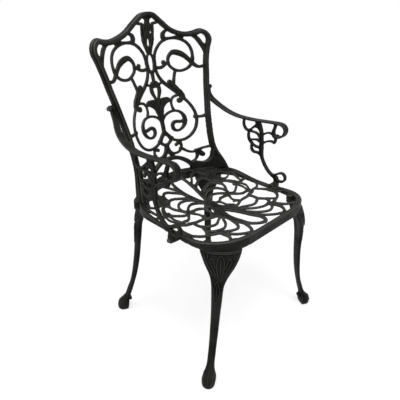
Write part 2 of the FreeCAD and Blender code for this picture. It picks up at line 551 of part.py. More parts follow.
LEG_SECTIONS = [
    # height, outer, inner, width, outer bow, inner bow
    (0.0, 15.0, -13.0, 30.0, 13.0, -1.5),
    (5.0, 17.5, -15.0, 35.0, 15.0, -1.5),
    (18.0, 17.0, -17.0, 37.0, 15.0, -1.5),
    (30.0, 11.0, -18.5, 34.0, 13.0, -1.5),
    (42.0, -1.5, -21.0, 26.0, 10.0, -1.5),
    (56.0, -10.0, -26.0, 21.0, 6.0, -1.5),
    (75.0, -17.5, -32.5, 20.0, 5.0, -1.5),
    (100.0, -26.0, -40.0, 20.0, 4.5, -1.5),
    (130.0, -33.0, -48.0, 21.0, 5.0, -1.5),
    (170.0, -39.0, -56.0, 22.5, 5.0, -1.5),
    (215.0, -44.0, -62.0, 24.5, 5.5, -1.5),
    (260.0, -46.5, -65.5, 28.0, 6.0, -1.0),
    (295.0, -48.0, -67.5, 33.0, 6.5, 0.5),
    (318.0, -50.0, -70.0, 45.0, 8.5, 2.0),
    (336.0, -52.0, -73.0, 64.0, 12.5, 5.0),
    (354.0, -55.5, -77.0, 84.0, 17.5, 8.0),
    (370.0, -60.5, -81.0, 98.0, 20.5, 10.0),
    (388.0, -68.0, -87.0, 106.0, 22.5, 12.0),
]
LEG_TOP_AT = -80.0
EAR_AT = -93.0


def leg_section(section, cheek, flare):
    """One closed section of the leg, round in front and flatter behind."""
    height, outer, inner, width, bow, hollow = section
    level = height * size("rim_foot") / 388.0
    share = min(max((height - 290.0) / 75.0, 0.0), 1.0)
    half = width / 2 * size("leg_girth") * (1 - (1 - flare) * share)
    corners = [V(outer - bow, -half, level), V(outer, 0, level), V(outer - bow, half, level),
               V(inner - hollow, half, level), V(inner, 0, level), V(inner - hollow, -half, level)]
    turn = FreeCAD.Rotation(V(0, 0, 1), cheek * share)
    middle = V(LEG_TOP_AT, 0, level)
    a, b, c, d, e, f = [middle + turn.multVec(p - middle) for p in corners]
    return Part.Wire([Part.Arc(a, b, c).toShape(), Part.LineSegment(c, d).toShape(),
                      Part.Arc(d, e, f).toShape(), Part.LineSegment(f, a).toShape()])


def ear_points(cheek):
    """The two bolt places at the top of a leg, in its own frame."""
    turn = FreeCAD.Rotation(V(0, 0, 1), cheek)
    middle = V(LEG_TOP_AT, 0, 0)
    spread = size("ear_spread")
    return [middle + turn.multVec(V(EAR_AT - LEG_TOP_AT, side * spread, 0)) for side in (-1, 1)]


def leg_solid(cheek, flare):
    """One leg: a tapered cabriole with a pad foot, a flared top and two bolt ears."""
    top = size("rim_foot")
    thick = size("ear_thick")
    leg = Part.makeLoft([leg_section(s, cheek, flare) for s in LEG_SECTIONS], True, False)
    leg = leg.fuse(Part.makeCylinder(5.5, 15, V(-22.5, -7.5, 34), V(0, 1, 0)))
    for p in ear_points(cheek):
        leg = leg.fuse(Part.makeCylinder(9.5, thick, V(p.x, p.y, top - thick)))
    for p in ear_points(cheek):
        leg = leg.cut(Part.makeCylinder(9.5, 60, V(p.x, p.y, top - thick - 60)))
        leg = leg.cut(drill(V(p.x, p.y, top - thick - 1), V(0, 0, 1), thick + 2))
    return biggest(leg)


LEGS = []
for end, way in (("front", -1), ("rear", 1)):
    for name, hand in (("right", 1), ("left", -1)):
        turn = way * size("toe_" + end)
        cheek = way * hand * size("cheek_" + end)
        angle = turn if hand == 1 else 180 - turn
        place = FreeCAD.Placement(V(hand * size("foot_%s_x" % end), way * size("foot_%s_y" % end), 0),
                                  FreeCAD.Rotation(V(0, 0, 1), angle))
        flare = size("flare_rear") if end == "rear" else 1.0
        LEGS.append(("leg_%s_%s" % (end, name), cheek, flare, place))

LEG_BOLTS = []
for name, cheek, flare, place in LEGS:
    for p in ear_points(cheek):
        at = place.multVec(V(p.x, p.y, size("rim_foot") - size("ear_thick")))
        LEG_BOLTS.append((at, V(0, 0, 1)))

# The back stands on two pads of the seat, with two bolts through each pad

PAD_LINE = [(84, 149.5), (105, 141.5), (120, 135), (135, 127.5), (150, 118.5), (165, 109), (182, 97.5)]
PAD_BOLTS = [(92, 147), (177, 101)]
PAD_TOP = size("back_foot_z")

BACK_BOLTS = []
for hand in (1, -1):
    for x, y in PAD_BOLTS:
        BACK_BOLTS.append((V(hand * x * BX, y, size("rim_foot")), V(0, 0, 1)))

ARM_TOP_BOLTS = []
FOOT_BOLTS = []
for hand in (1, -1):
    foot = lean_point(BRACKET_OUT, *FOOT_BOLT)
    FOOT_BOLTS.append((V(hand * foot.x, foot.y, foot.z), V(-hand * FOOT_AXIS.x, -FOOT_AXIS.y, -FOOT_AXIS.z)))
    ARM_TOP_BOLTS.append((V(hand * LUG_OUT, ARM_TOP.y, ARM_TOP.z), V(-hand, 0, 0)))

CREST_EYE = [(8, 452), (9, 458), (14, 460.5), (19, 460), (24, 456), (27, 451), (28, 448), (24, 447.5),
             (19, 448), (15, 446.5), (12, 446)]


def eye_holes():
    """The small eyes of the crest and the slits down the middle of the back."""
    faces = []
    for side in (1, -1):
        faces.append(leaf([(side * x, y) for x, y in on_back(CREST_EYE)]))
        faces.append(disc(side * 11.5 * BX, 424 * BY, 3.9))
    for low, high in ((386, 410), (240, 273)):
        mid = (low + high) / 2
        faces.append(leaf(on_back([(0, low), (5, mid), (0, high), (-5, mid)])))
    return faces


def back_solid():
    """The back: a thin curved scrollwork inside a deeper frame."""
    low, high = -45 * BY, 500 * BY
    thin = both_halves(back_faces()).cut(eye_holes())
    foot = both_halves([arch_face, wing_face]).cut(eye_holes())
    lattice = stand_up(thin, -120, 60).common(back_shell(size("lattice_depth"), low, high))
    parts = [lattice, stand_up(foot, -120, 60).common(back_shell(size("frame_depth"), low, high))]
    for face, rearward in ((frame_face, size("band_front")), (rear_face, size("band_rear"))):
        layer = stand_up(both_halves([face]).cut(eye_holes()), -120, 60)
        parts.append(layer.common(back_shell(size("band_depth"), low, high, rearward)))
    back = parts[0].multiFuse(parts[1:])
    floor = Part.makeBox(700, 700, 200, V(-350, -200, PAD_TOP - 200))
    holes = [drill(at, along, PAD_TOP - at.z + 15) for at, along in BACK_BOLTS]
    holes += [drill(at, along, 60) for at, along in ARM_TOP_BOLTS]
    tools = []
    for tool in [floor] + holes:
        tool.transformShape(BACK_PLACE.inverse().toMatrix())
        tools.append(tool)
    return biggest(back.cut(tools))


def seat_solid():
    """The seat: dished scrollwork in a raised rim, with pads, bosses and lugs."""
    low = size("rim_foot")
    half = size("seat_plate") / 2
    thin = both_halves(seat_faces())
    thin.translate(V(0, 0, 300))
    seat = thin.extrude(V(0, 0, 200)).common(dished_slab(half, half))
    rim = both_halves([rim_face])
    rim.translate(V(0, 0, low))
    rim = rim.extrude(V(0, 0, 60)).common(dished_slab(40, size("rim_rise")))
    parts = [rim, seat]
    clear = []
    for side in (1, -1):
        line = [(side * x * BX, y) for x, y in PAD_LINE]
        pad = strand(line, 20)
        pad.translate(V(0, 0, low))
        parts.append(pad.extrude(V(0, 0, PAD_TOP - low)))
        room = strand(line, 26)
        room.translate(V(0, 0, PAD_TOP))
        clear.append(room.extrude(V(0, 0, 60)))
        lug = upright(strand([(95, FOOT_BOLT[1] + 6), FOOT_BOLT], 18), BRACKET_IN - size("lug_reach"))
        lug = leaned(lug.extrude(V(size("lug_reach"), 0, 0)))
        parts.append(lug if side == 1 else mirrored(lug))
    for at, along in LEG_BOLTS:
        parts.append(Part.makeCylinder(9.5, 60, V(at.x, at.y, low)).common(dished_slab(40, half)))
    seat = parts[0].multiFuse(parts[1:])
    holes = [drill(at, along, size("ear_thick") + 12) for at, along in LEG_BOLTS]
    holes += [drill(at, along, 60) for at, along in BACK_BOLTS]
    holes += [drill(at, along, 24) for at, along in FOOT_BOLTS]
    return biggest(seat.cut(clear + holes))


def mirrored(shape):
    """The same piece for the other side of the chair."""
    return shape.mirror(V(0, 0, 0), V(1, 0, 0))


pieces = []


def cast(name, shape, placement=FreeCAD.Placement()):
    """A cast piece of the document."""
    piece = doc.addObject("Part::Feature", name)
    piece.Label = name
    piece.Shape = shape
    piece.Placement = placement
    pieces.append(piece)


for name, cheek, flare, place in LEGS:
    cast(name, leg_solid(cheek, flare), place)
arm = arm_solid()
cast("arm_right", arm)
cast("arm_left", mirrored(arm))
cast("back_panel", back_solid(), BACK_PLACE)
cast("seat_panel", seat_solid())

# Fasteners: a hexagon bolt and a washer at every place


def bound(kind, name, **rules):
    """A primitive whose sizes follow the sheet."""
    item = doc.addObject(kind, name)
    for key, rule in rules.items():
        item.setExpression(key, rule)
    return item


def fasteners(name, places, reach):
    """Bolts and washers at places, each a point under the washer and a direction."""
    bolts = []
    washers = []
    for i, (at, along) in enumerate(places):
        turn = FreeCAD.Rotation(V(0, 0, 1), along)
        under = at - along * size("washer_thick")
        head = bound("Part::Prism", "%s_head_%d" % (name, i), Circumradius="sizes.head_corner",
                     Height="sizes.head_high")
        head.Polygon = 6
        head.Placement = FreeCAD.Placement(under - along * size("head_high"), turn)
        shank = bound("Part::Cylinder", "%s_shank_%d" % (name, i), Radius="sizes.bolt_dia / 2", Height=reach)
        shank.Placement = FreeCAD.Placement(under, turn)
        bolt = doc.addObject("Part::Fuse", "%s_bolt_%d" % (name, i))
        bolt.Base = head
        bolt.Tool = shank
        bolts.append(bolt)
        plate = bound("Part::Cylinder", "%s_plate_%d" % (name, i), Radius="sizes.washer_radius",
                      Height="sizes.washer_thick")
        plate.Placement = FreeCAD.Placement(under, turn)
        bore = bound("Part::Cylinder", "%s_bore_%d" % (name, i), Radius="sizes.bolt_hole / 2",
                     Height="sizes.washer_thick")
        bore.Placement = FreeCAD.Placement(under, turn)
        ring = doc.addObject("Part::Cut", "%s_ring_%d" % (name, i))
        ring.Base = plate
        ring.Tool = bore
        washers.append(ring)
    for kind, members in (("bolts", bolts), ("washers", washers)):
        group = doc.addObject("Part::Compound", "%s_%s" % (name, kind))
        group.Links = members
        group.Label = "%s_%s" % (name, kind)
        pieces.append(group)


fasteners("leg", LEG_BOLTS, "sizes.bolt_reach")
fasteners("back", BACK_BOLTS, "sizes.back_foot_z - sizes.rim_foot + 14")
fasteners("arm_foot", FOOT_BOLTS, "sizes.bracket_depth + 12")
fasteners("arm_top", ARM_TOP_BOLTS, "sizes.bolt_reach + 6")

# Checks and files

doc.recompute()
for item in doc.Objects:
    if "Invalid" in item.State or "Error" in item.State:
        raise RuntimeError("%s did not build" % item.Label)
for piece in pieces:
    if piece.Shape.isNull() or not piece.Shape.isValid():
        raise RuntimeError("%s has no valid shape" % piece.Label)

# The whole chair is moved so that its origin is under the middle of its outline

boxes = [piece.Shape.optimalBoundingBox(True, False) for piece in pieces]
middle_y = (min(b.YMin for b in boxes) + max(b.YMax for b in boxes)) / 2
for piece in pieces:
    piece.Placement = FreeCAD.Placement(V(0, -middle_y, 0), FreeCAD.Rotation()) * piece.Placement
doc.recompute()
print("middle at", round(middle_y, 3), "height", round(max(b.ZMax for b in boxes), 2),
      "width", round(max(b.XMax for b in boxes) - min(b.XMin for b in boxes), 2),
      "depth", round(max(b.YMax for b in boxes) - min(b.YMin for b in boxes), 2))

os.makedirs("parts", exist_ok=True)
for piece in pieces:
    piece.Shape.exportStep("parts/%s.step" % piece.Label)
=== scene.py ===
"""The look of a cast iron garden armchair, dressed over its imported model."""
import logging
import math
from dataclasses import dataclass, field
from enum import Enum

import bmesh
import bpy
from mathutils import Matrix, Vector
from mathutils.bvhtree import BVHTree


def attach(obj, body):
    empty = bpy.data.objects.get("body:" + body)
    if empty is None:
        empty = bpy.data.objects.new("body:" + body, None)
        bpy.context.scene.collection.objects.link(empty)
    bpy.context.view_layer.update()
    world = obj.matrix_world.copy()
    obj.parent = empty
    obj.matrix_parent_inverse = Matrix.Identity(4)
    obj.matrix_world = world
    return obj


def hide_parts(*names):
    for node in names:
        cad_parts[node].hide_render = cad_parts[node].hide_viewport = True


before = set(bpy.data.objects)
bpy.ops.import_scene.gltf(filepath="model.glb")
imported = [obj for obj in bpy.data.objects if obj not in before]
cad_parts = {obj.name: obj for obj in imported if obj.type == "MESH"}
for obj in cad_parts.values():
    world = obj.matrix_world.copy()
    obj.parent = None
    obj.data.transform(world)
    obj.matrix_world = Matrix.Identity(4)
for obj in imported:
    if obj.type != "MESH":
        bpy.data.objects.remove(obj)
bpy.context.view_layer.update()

MM = 0.001
LOG = logging.getLogger("armchair")
LOG.setLevel(logging.INFO)
logging.basicConfig(level=logging.INFO, format="%(name)s: %(message)s")

# From the drawing of the chair to the frame of the model.
SHIFT = Vector((0, -0.97 * MM, 0))
ACROSS = Vector((1, 0, 0))
UPRIGHT = Vector((0, 0, 1))
# The seat is drawn on a plane this high, and every drawing is thrown from this far off, in metres.
SEAT_DRAWING_HEIGHT = 0.5
THROW_RUN_UP = 0.3
THROW_REACH = 1.0
# A rib has a ring of points at every step, in millimetres, and sinks by this share of its half width.
RIB_STEP = 2.5
RING_SIDES = 8
RIB_SINK = 0.8
LEAST_RIB_POINTS = 3
# What counts as an edge in the pointiness of a mesh, lightened as rubbing and painted highlight, with
# hollows below it darkened as painted shade, and as full contrast in a noise.
EDGE_RANGE = (0.485, 0.60)
NOISE_RANGE = (0.3, 0.7)
WHITE = (1.0, 1.0, 1.0, 1.0)
LAMP_TARGET = (0.0, 0.0, 0.45)


class Fineness(Enum):
    """How finely a casting is remade, as the size of its cells in metres."""

    BACK = 1.4 * MM
    SEAT = 1.4 * MM
    ARM = 0.9 * MM
    LEG = 0.9 * MM


# Shader groups


def new_group(name: str, inputs: dict[str, tuple[str, float]],
              outputs: dict[str, str]) -> bpy.types.NodeTree:
    """Makes an empty shader group with named sockets.

    Args:
        name: the group's name.
        inputs: socket name to its type and default value.
        outputs: socket name to its type.

    Returns:
        The node tree, with its input node named "in" and its output node named "out".
    """
    tree = bpy.data.node_groups.new(name, "ShaderNodeTree")
    for label, (kind, value) in inputs.items():
        tree.interface.new_socket(label, in_out="INPUT", socket_type=kind).default_value = value
    for label, kind in outputs.items():
        tree.interface.new_socket(label, in_out="OUTPUT", socket_type=kind)
    tree.nodes.new("NodeGroupInput").name = "in"
    tree.nodes.new("NodeGroupOutput").name = "out"
    return tree


def noise(tree: bpy.types.NodeTree, scale: float, detail: float, rough: float) -> bpy.types.Node:
    """A noise texture on object coordinates.

    Args:
        tree: the tree that it goes into.
        scale: cells in each metre.
        detail: number of finer octaves.
        rough: strength of the finer octaves.

    Returns:
        The noise node.
    """
    place = tree.nodes.new("ShaderNodeTexCoord")
    node = tree.nodes.new("ShaderNodeTexNoise")
    node.inputs["Scale"].default_value = scale
    node.inputs["Detail"].default_value = detail
    node.inputs["Roughness"].default_value = rough
    tree.links.new(place.outputs["Object"], node.inputs["Vector"])
    return node


def span(tree: bpy.types.NodeTree, value: bpy.types.NodeSocket, low: float, high: float,
         out_low: float, out_high: float) -> bpy.types.NodeSocket:
    """Maps a value from one range to another, held at its ends.

    Args:
        tree: the tree that it goes into.
        value: the socket to read.
        low: the value that gives out_low.
        high: the value that gives out_high.
        out_low: the low end of the result.
        out_high: the high end of the result.

    Returns:
        The socket of the result.
    """
    node = tree.nodes.new("ShaderNodeMapRange")
    ends = {"From Min": low, "From Max": high, "To Min": out_low, "To Max": out_high}
    for label, number in ends.items():
        node.inputs[label].default_value = number
    tree.links.new(value, node.inputs["Value"])
    return node.outputs["Result"]


def grain_and_shade_group() -> bpy.types.NodeTree:
    """The sand-cast skin under a coating: fine pits, soft lumps, rounded edges lightened as rubbing and
    as a painted highlight, and hollows darkened with painted shade.

    Returns:
        A group that puts out Tone, Gloss and Height.
    """
    tree = new_group(
        "grain_and_shade",
        {"Pits": ("NodeSocketFloat", 1.0), "Lumps": ("NodeSocketFloat", 1.0),
         "Rub_and_shade_weight": ("NodeSocketFloat", 0.6)},
        {"Shade_and_rubbing": "NodeSocketFloat", "Gloss": "NodeSocketFloat", "Height": "NodeSocketFloat"})
    nodes, links = tree.nodes, tree.links
    fine = noise(tree, scale=900.0, detail=3.0, rough=0.6)
    coarse = noise(tree, scale=120.0, detail=3.0, rough=0.55)
    broad = noise(tree, scale=22.0, detail=2.0, rough=0.5)
    pits = nodes.new("ShaderNodeMath")
    pits.operation = "MULTIPLY"
    links.new(fine.outputs["Fac"], pits.inputs[0])
    links.new(nodes["in"].outputs["Pits"], pits.inputs[1])
    lumps = nodes.new("ShaderNodeMath")
    lumps.operation = "MULTIPLY_ADD"
    links.new(coarse.outputs["Fac"], lumps.inputs[0])
    links.new(nodes["in"].outputs["Lumps"], lumps.inputs[1])
    links.new(pits.outputs[0], lumps.inputs[2])
    links.new(lumps.outputs[0], nodes["out"].inputs["Height"])
    shape = nodes.new("ShaderNodeNewGeometry")
    # Pointiness finds rounded edges for rubbing and a painted highlight, and hollows for painted shade.
    edge = span(tree, shape.outputs["Pointiness"], *EDGE_RANGE, 0.0, 1.0)
    # Mixes random broad noise with that painted edge highlight and hollow shade.
    shade_and_rubbing = nodes.new("ShaderNodeMix")
    links.new(nodes["in"].outputs["Rub_and_shade_weight"], shade_and_rubbing.inputs["Factor"])
    links.new(span(tree, broad.outputs["Fac"], *NOISE_RANGE, 0.0, 1.0), shade_and_rubbing.inputs["A"])
    links.new(edge, shade_and_rubbing.inputs["B"])
    links.new(shade_and_rubbing.outputs["Result"], nodes["out"].inputs["Shade_and_rubbing"])
    links.new(span(tree, coarse.outputs["Fac"], *NOISE_RANGE, 0.0, 1.0), nodes["out"].inputs["Gloss"])
    return tree


@dataclass(frozen=True)
class Coating:
    """A satin coating over a casting, with painted shade in its hollows and rubbed edges that also carry
    a painted highlight.

    Attributes:
        name: the material's name.
        dark: its colour in the hollows, where it is painted shade.
        light: its colour on the rounded edges, partly rubbed metal and partly a painted highlight.
        gloss: lowest and highest roughness.
        sheen: specular level in the hollows and on the rounded edges, cut in the hollows as painted
            shade.
        relief: depth of the grain, in metres.
        pits: strength of the fine grain.
        lumps: strength of the soft lumps.
        bump: strength of the grain in the shading.
        rub_and_shade_weight: weight of the shape, against chance, in how light a spot is, the shape
            lightening edges as rubbing and painted highlight and darkening hollows as painted shade.
    """

    name: str
    dark: tuple[float, float, float] = (0.001, 0.001, 0.001)
    light: tuple[float, float, float] = (0.038, 0.038, 0.0355)
    gloss: tuple[float, float] = (0.40, 0.56)
    sheen: tuple[float, float] = (0.0, 0.3)
    relief: float = 0.25 * MM
    pits: float = 0.6
    lumps: float = 0.8
    bump: float = 0.5
    rub_and_shade_weight: float = 0.85

    def material(self) -> bpy.types.Material:
        """Builds the material.

        Returns:
            A node material with its own Principled shader.
        """
        made = bpy.data.materials.new(self.name)
        made.use_nodes = True
        tree = made.node_tree
        nodes, links = tree.nodes, tree.links
        shader = nodes["Principled BSDF"]
        shader.inputs["Metallic"].default_value = 0.0
        shader.inputs["IOR"].default_value = 1.5
        group = nodes.new("ShaderNodeGroup")
        group.node_tree = bpy.data.node_groups.get("grain_and_shade") or grain_and_shade_group()
        group.inputs["Pits"].default_value = self.pits
        group.inputs["Lumps"].default_value = self.lumps
        group.inputs["Rub_and_shade_weight"].default_value = self.rub_and_shade_weight
        # Base colour runs from dark in the hollows, as painted shade, to light on rounded edges, as
        # rubbing and a painted highlight.
        shaded_coat_mix = nodes.new("ShaderNodeMix")
        shaded_coat_mix.data_type = "RGBA"
        shaded_coat_mix.inputs["A"].default_value = (*self.dark, 1.0)
        shaded_coat_mix.inputs["B"].default_value = (*self.light, 1.0)
        links.new(group.outputs["Shade_and_rubbing"], shaded_coat_mix.inputs["Factor"])
        links.new(shaded_coat_mix.outputs["Result"], shader.inputs["Base Color"])
        # Specular level is cut in the hollows as painted shade and raised on the rounded edges.
        links.new(span(tree, group.outputs["Shade_and_rubbing"], 0.0, 1.0, *self.sheen),
                  shader.inputs["Specular IOR Level"])
        links.new(span(tree, group.outputs["Gloss"], 0.0, 1.0, *self.gloss), shader.inputs["Roughness"])
        bump = nodes.new("ShaderNodeBump")
        bump.inputs["Distance"].default_value = self.relief
        bump.inputs["Strength"].default_value = self.bump
        links.new(group.outputs["Height"], bump.inputs["Height"])
        links.new(bump.outputs["Normal"], shader.inputs["Normal"])
        return made


# Meshes


def new_piece(name: str, mesh: bmesh.types.BMesh) -> bpy.types.Object:
    """Makes an object from a bmesh and rides it on the chair.

    Args:
        name: the object's name.
        mesh: its shape in metres, freed here.

    Returns:
        The object, at the world's origin.
    """
    data = bpy.data.meshes.new(name)
    mesh.to_mesh(data)
    mesh.free()
    piece = bpy.data.objects.new(name, data)
    bpy.context.scene.collection.objects.link(piece)
    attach(piece, "root")
    return piece


def dress(piece: bpy.types.Object, material: bpy.types.Material) -> None:
    """Gives a piece one material in every slot."""
    if not piece.data.materials:
        piece.data.materials.append(material)
    for slot in piece.material_slots:
        slot.material = material


@dataclass
class Canvas:
    """A flat drawing that is thrown onto a casting.

    Attributes:
        target: the casting that it lands on.
        origin: where the drawing's own zero is.
        across: direction of the drawing's first axis.
        up: direction of the drawing's second axis.
        throw: direction in which it is thrown.
    """

    target: bpy.types.Object
    origin: Vector
    across: Vector
    up: Vector
    throw: Vector
    tree: BVHTree = field(init=False)

    def __post_init__(self) -> None:
        """Prepares the casting for the throw."""
        mesh = bmesh.new()
        mesh.from_mesh(self.target.data)
        self.tree = BVHTree.FromBMesh(mesh)
        mesh.free()

    def land(self, x: float, y: float) -> tuple[Vector, Vector] | None:
        """Finds where a point of the drawing lands.

        Args:
            x: millimetres along the first axis.
            y: millimetres along the second axis.

        Returns:
            The point and the normal of the surface, or None where it misses.
        """
        start = self.origin + self.across * x * MM + self.up * y * MM - self.throw * THROW_RUN_UP
        hit, normal, _, _ = self.tree.ray_cast(start, self.throw, THROW_REACH)
        return (hit, normal) if hit is not None else None


def smooth_line(points: list[tuple[float, float]], widths: list[float],
                step: float) -> list[tuple[float, float, float]]:
    """A smooth line through points, with its width along it.

    Args:
        points: the points of a drawing, in millimetres.
        widths: the width at each point, in millimetres.
        step: the distance between the points of the result.

    Returns:
        Points and widths, evenly spaced.
    """
    out = []
    count = len(points)
    for i in range(count - 1):
        p0 = Vector(points[max(i - 1, 0)])
        p1 = Vector(points[i])
        p2 = Vector(points[i + 1])
        p3 = Vector(points[min(i + 2, count - 1)])
        pieces = max(2, round((p2 - p1).length / step))
        for k in range(pieces):
            t = k / pieces
            p = 0.5 * (2 * p1 + (p2 - p0) * t + (2 * p0 - 5 * p1 + 4 * p2 - p3) * t * t
                       + (3 * p1 - p0 - 3 * p2 + p3) * t ** 3)
            out.append((p.x, p.y, widths[i] * (1 - t) + widths[i + 1] * t))
    out.append((*points[-1], widths[-1]))
    return out


def skin(mesh: bmesh.types.BMesh, rings: list[list[bmesh.types.BMVert]]) -> None:
    """Joins rings of points into a closed tube.

    Args:
        mesh: the mesh that holds the points.
        rings: the rings from one end to the other, each with RING_SIDES points.
    """
    edges = [[mesh.edges.new((ring[k], ring[(k + 1) % RING_SIDES])) for k in range(RING_SIDES)]
             for ring in rings]
    for a, b in zip(edges, edges[1:]):
        bmesh.ops.bridge_loops(mesh, edges=a + b)
    bmesh.ops.contextual_create(mesh, geom=edges[0])
    bmesh.ops.contextual_create(mesh, geom=edges[-1])


@dataclass(frozen=True)
class Rib:
    """A raised rib of carving.

    Attributes:
        points: its middle line on the drawing, in millimetres.
        widths: its width at each point, in millimetres.
        rise: its height over the casting, as a share of its width.
    """

    points: tuple[tuple[float, float], ...]
    widths: tuple[float, ...]
    rise: float = 0.35

    def carve(self, mesh: bmesh.types.BMesh, canvas: Canvas, flip: int = 1) -> None:
        """Adds the rib to a mesh.

        Args:
            mesh: where it is added.
            canvas: the drawing's place on the casting.
            flip: minus one for the mirrored half of the drawing.
        """
        drawn = smooth_line(list(self.points), list(self.widths), RIB_STEP)
        line = [canvas.land(flip * x, y) + (w,) for x, y, w in drawn if canvas.land(flip * x, y)]
        if len(line) < LEAST_RIB_POINTS:
            return
        rings = []
        for i, (at, normal, wide) in enumerate(line):
            along = (line[min(i + 1, len(line) - 1)][0] - line[max(i - 1, 0)][0]).normalized()
            side = along.cross(normal).normalized()
            half = wide * MM / 2
            ring = []
            for k in range(RING_SIDES):
                turn = 2 * math.pi * k / RING_SIDES
                lift = math.sin(turn) * (self.rise * 2 if math.sin(turn) > 0 else RIB_SINK)
                ring.append(mesh.verts.new(at + side * half * math.cos(turn) + normal * half * lift))
            rings.append(ring)
        skin(mesh, rings)


@dataclass
class Casting:
    """One casting: its solid remade with eased edges, with its carving cast in.

    Attributes:
        node: the name of the CAD node.
        cell: size of the cells in which it is remade.
        passes: how often its edges are eased.
        fill: how far its skin is let out again after easing, in metres.
        keep: share of the faces that is kept.
    """

    node: str
    cell: Fineness
    passes: int = 6
    fill: float = 0.0
    keep: float = 1.0

    def solid(self) -> bpy.types.Object:
        """The CAD node of this casting."""
        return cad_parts[self.node]

    def carving(self) -> bmesh.types.BMesh:
        """The raised carving of this casting, empty by default."""
        return bmesh.new()

    def build(self, material: bpy.types.Material) -> bpy.types.Object:
        """Remakes the casting with its carving and dresses it.

        Args:
            material: its finish.

        Returns:
            The dressed piece.
        """
        mesh = self.carving()
        if mesh.faces:
            bmesh.ops.recalc_face_normals(mesh, faces=mesh.faces[:])
        mesh.from_mesh(self.solid().data)
        bmesh.ops.remove_doubles(mesh, verts=mesh.verts[:], dist=1e-6)
        piece = new_piece(self.node + "_cast", mesh)
        remake = piece.modifiers.new("remake", "REMESH")
        remake.mode = "VOXEL"
        remake.voxel_size = self.cell.value
        remake.use_smooth_shade = True
        ease = piece.modifiers.new("ease", "SMOOTH")
        ease.factor = 0.5
        ease.iterations = self.passes
        if self.fill:
            swell = piece.modifiers.new("swell", "DISPLACE")
            swell.strength = self.fill
            swell.mid_level = 0.0
        if self.keep < 1.0:
            thin = piece.modifiers.new("thin", "DECIMATE")
            thin.ratio = self.keep
        dress(piece, material)
        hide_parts(self.node)
        LOG.info("%s remade in cells of %.1f mm", self.node, self.cell.value / MM)
        return piece


# The carving


def both(canvas: Canvas, mesh: bmesh.types.BMesh, ribs: tuple[Rib, ...]) -> None:
    """Carves ribs and their mirror images."""
    for rib in ribs:
        for flip in (1, -1):
            rib.carve(mesh, canvas, flip)


BACK_BAND = Rib(
    ((0, 471), (10, 470.8), (22, 467.5), (34, 460), (46, 451.5), (60, 441), (77, 428.6), (97, 419),
     (118, 412), (139, 407.6), (160, 407.5), (176, 410), (188, 412.5), (198, 409), (205.5, 402.5),
     (209.8, 393.5),
     (210.3, 385), (206.2, 375), (199, 356), (193.6, 338), (189, 319), (183.6, 291), (176.6, 259),
     (165.6, 201), (159.4, 166), (155.5, 130), (153, 95), (153.5, 70), (157.5, 47), (164, 28)),
    (6.0,) * 30, 0.3)
BACK_RIBS = (
    BACK_BAND,
    Rib(((1, 200), (1.5, 214), (2, 226), (2, 234)), (2.0, 3.5, 4.5, 3.0)),
    Rib(((3, 200), (8, 214), (13, 225), (15, 233)), (2.0, 3.5, 4.5, 3.0)),
    Rib(((5, 202), (14, 216), (23, 227), (28, 233)), (2.0, 3.5, 4.5, 3.0)),
    Rib(((7, 202), (19, 215), (31, 224), (40, 230)), (2.0, 3.5, 4.5, 3.0)),
    Rib(((0.5, 150), (0.5, 165), (0.5, 180), (0.5, 196)), (3.0, 3.5, 4.0, 3.0)),
    Rib(((7, 388), (11, 404), (14, 420), (17, 436), (17, 446)), (2.5, 4.0, 4.5, 4.5, 3.0)),
    Rib(((3, 414), (4, 426), (4.5, 438), (3, 450)), (3.0, 4.0, 4.5, 3.0)),
    Rib(((76, 356), (88, 362), (101, 359.5), (116, 353), (129, 343), (142, 329)),
        (2.5, 4.5, 5.0, 5.0, 4.0, 3.0)),
    Rib(((77, 181), (83.5, 167), (83, 154), (76, 142)), (2.5, 4.5, 5.0, 2.5)),
    Rib(((59, 276), (67, 266), (77, 252), (86, 238)), (3.0, 5.0, 5.5, 3.0)),
    Rib(((166, 399), (177, 389), (184, 377), (190, 363)), (3.0, 4.5, 4.5, 3.0)),
    Rib(((112, 54), (116, 47), (121, 41)), (3.0, 5.0, 3.0)),
    Rib(((118, 2), (124, 9), (130, 16)), (3.0, 4.0, 2.5)),
    Rib(((130, -4), (138, 12), (144, 26), (149, 44)), (3.5, 4.5, 4.0, 2.5)),
)
BRACE_ENDS = ((16.5, 446.0), (44.0, 450.0))
BRACE_WIDTH = 8.0 * MM
BRACE_DEPTH = 6.0 * MM
SEAT_RIBS = (
    Rib(((9, 8), (15, 30), (20.5, 50), (25.5, 70), (28, 88), (26.3, 105), (25, 120)),
        (3.0, 4.0, 4.5, 5.0, 5.0, 3.5, 3.0), 0.25),
    Rib(((12, -62), (20, -85), (24, -100), (26, -115), (27.5, -130), (28.5, -150), (28.5, -166)),
        (4.0, 7.0, 6.5, 6.0, 6.0, 6.0, 4.0), 0.25),
    Rib(((4, -10), (8, -28), (10, -46), (14, -62)), (3.0, 4.0, 4.0, 3.0), 0.25),
    Rib(((110, 112), (130, 100), (150, 92), (168, 80)), (3.0, 5.0, 5.0, 3.0), 0.3),
    Rib(((104, 84), (112, 98), (122, 108)), (3.0, 4.0, 3.0), 0.3),
)
